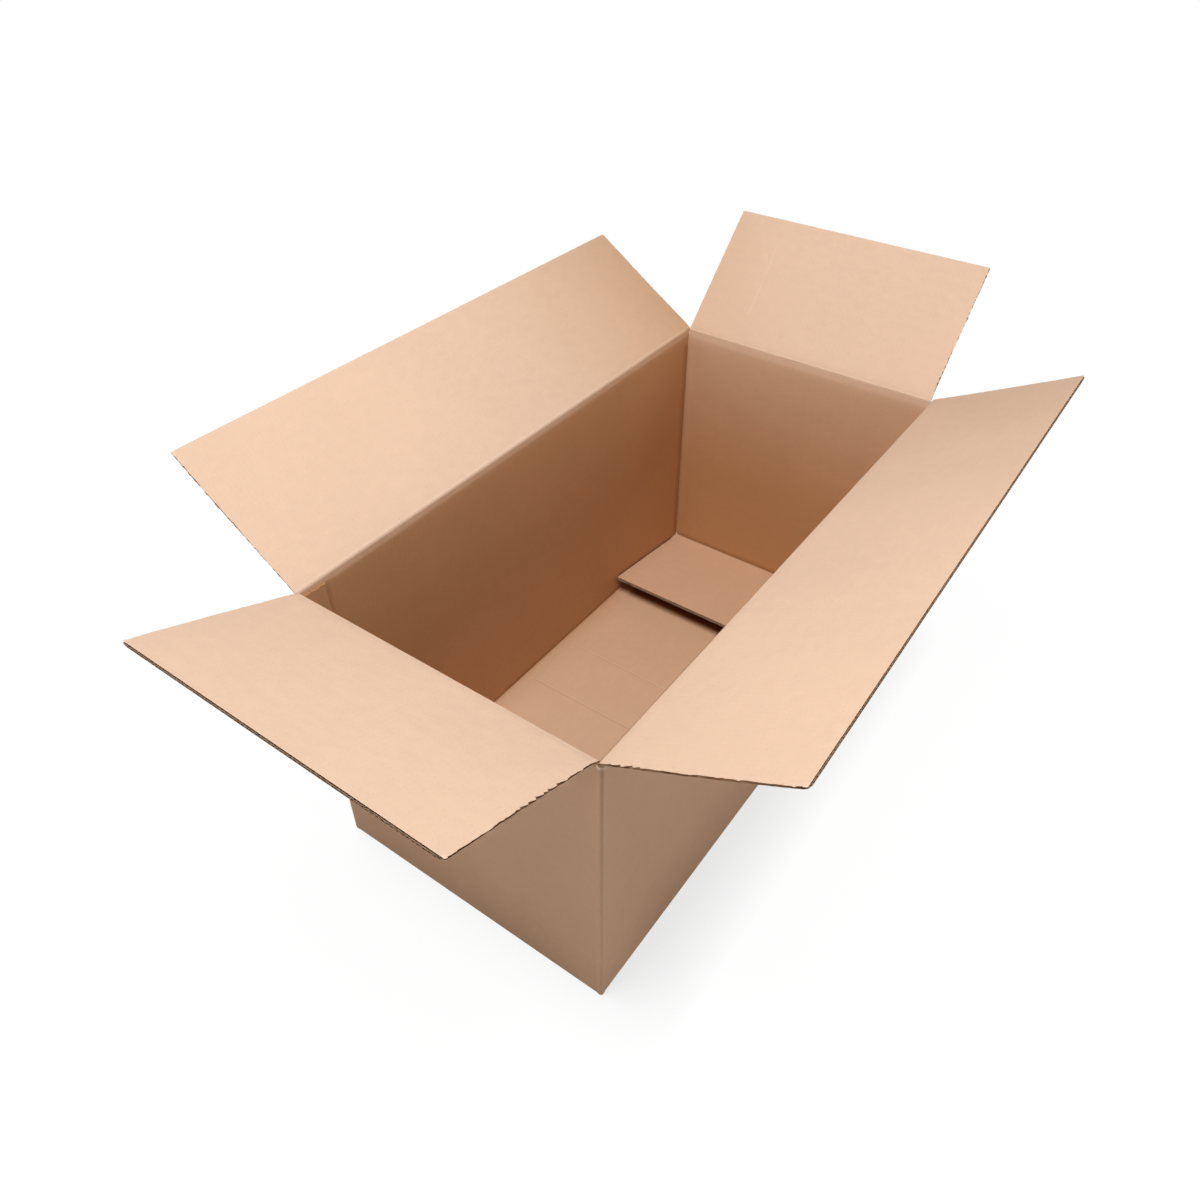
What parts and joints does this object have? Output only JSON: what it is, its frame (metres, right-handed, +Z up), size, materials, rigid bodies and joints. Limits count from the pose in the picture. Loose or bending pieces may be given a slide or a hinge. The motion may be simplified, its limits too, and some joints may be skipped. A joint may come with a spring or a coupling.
{
  "type": "open cardboard box",
  "caption": "Open rectangular corrugated shipping box standing on its closed bottom, with hinged long and short top flaps folded outwards.",
  "frame": {"origin": "middle of the box's bottom, on the surface it stands on", "axes": "+X along the long walls to the far end, +Y across to the left long wall, +Z up"},
  "size_m": [1.2894, 0.8636, 0.6332],
  "materials": {
    "kraft_board": "matt brown kraft liner on double-wall corrugated board"
  },
  "bodies": {
    "carton": {"carton_body": "kraft_board"},
    "left_long_flap": {"left_long_flap": "kraft_board"},
    "right_long_flap": {"right_long_flap": "kraft_board"},
    "far_end_flap": {"far_end_flap": "kraft_board"},
    "near_end_flap": {"near_end_flap": "kraft_board"}
  },
  "joints": [
    {"name": "left_long_crease", "type": "hinge", "parent": "carton", "child": "left_long_flap", "pos_m": [0, 0.232, 0.4735], "axis": [-1, 0, 0], "range_deg": [-147.8, 112.2]},
    {"name": "right_long_crease", "type": "hinge", "parent": "carton", "child": "right_long_flap", "pos_m": [0, -0.232, 0.4735], "axis": [1, 0, 0], "range_deg": [-154, 106]},
    {"name": "far_end_crease", "type": "hinge", "parent": "carton", "child": "far_end_flap", "pos_m": [0.457, 0, 0.466], "axis": [0, 1, 0], "range_deg": [-134.9, 125.1]},
    {"name": "near_end_crease", "type": "hinge", "parent": "carton", "child": "near_end_flap", "pos_m": [-0.457, 0, 0.466], "axis": [0, -1, 0], "range_deg": [-159, 101]}
  ]
}
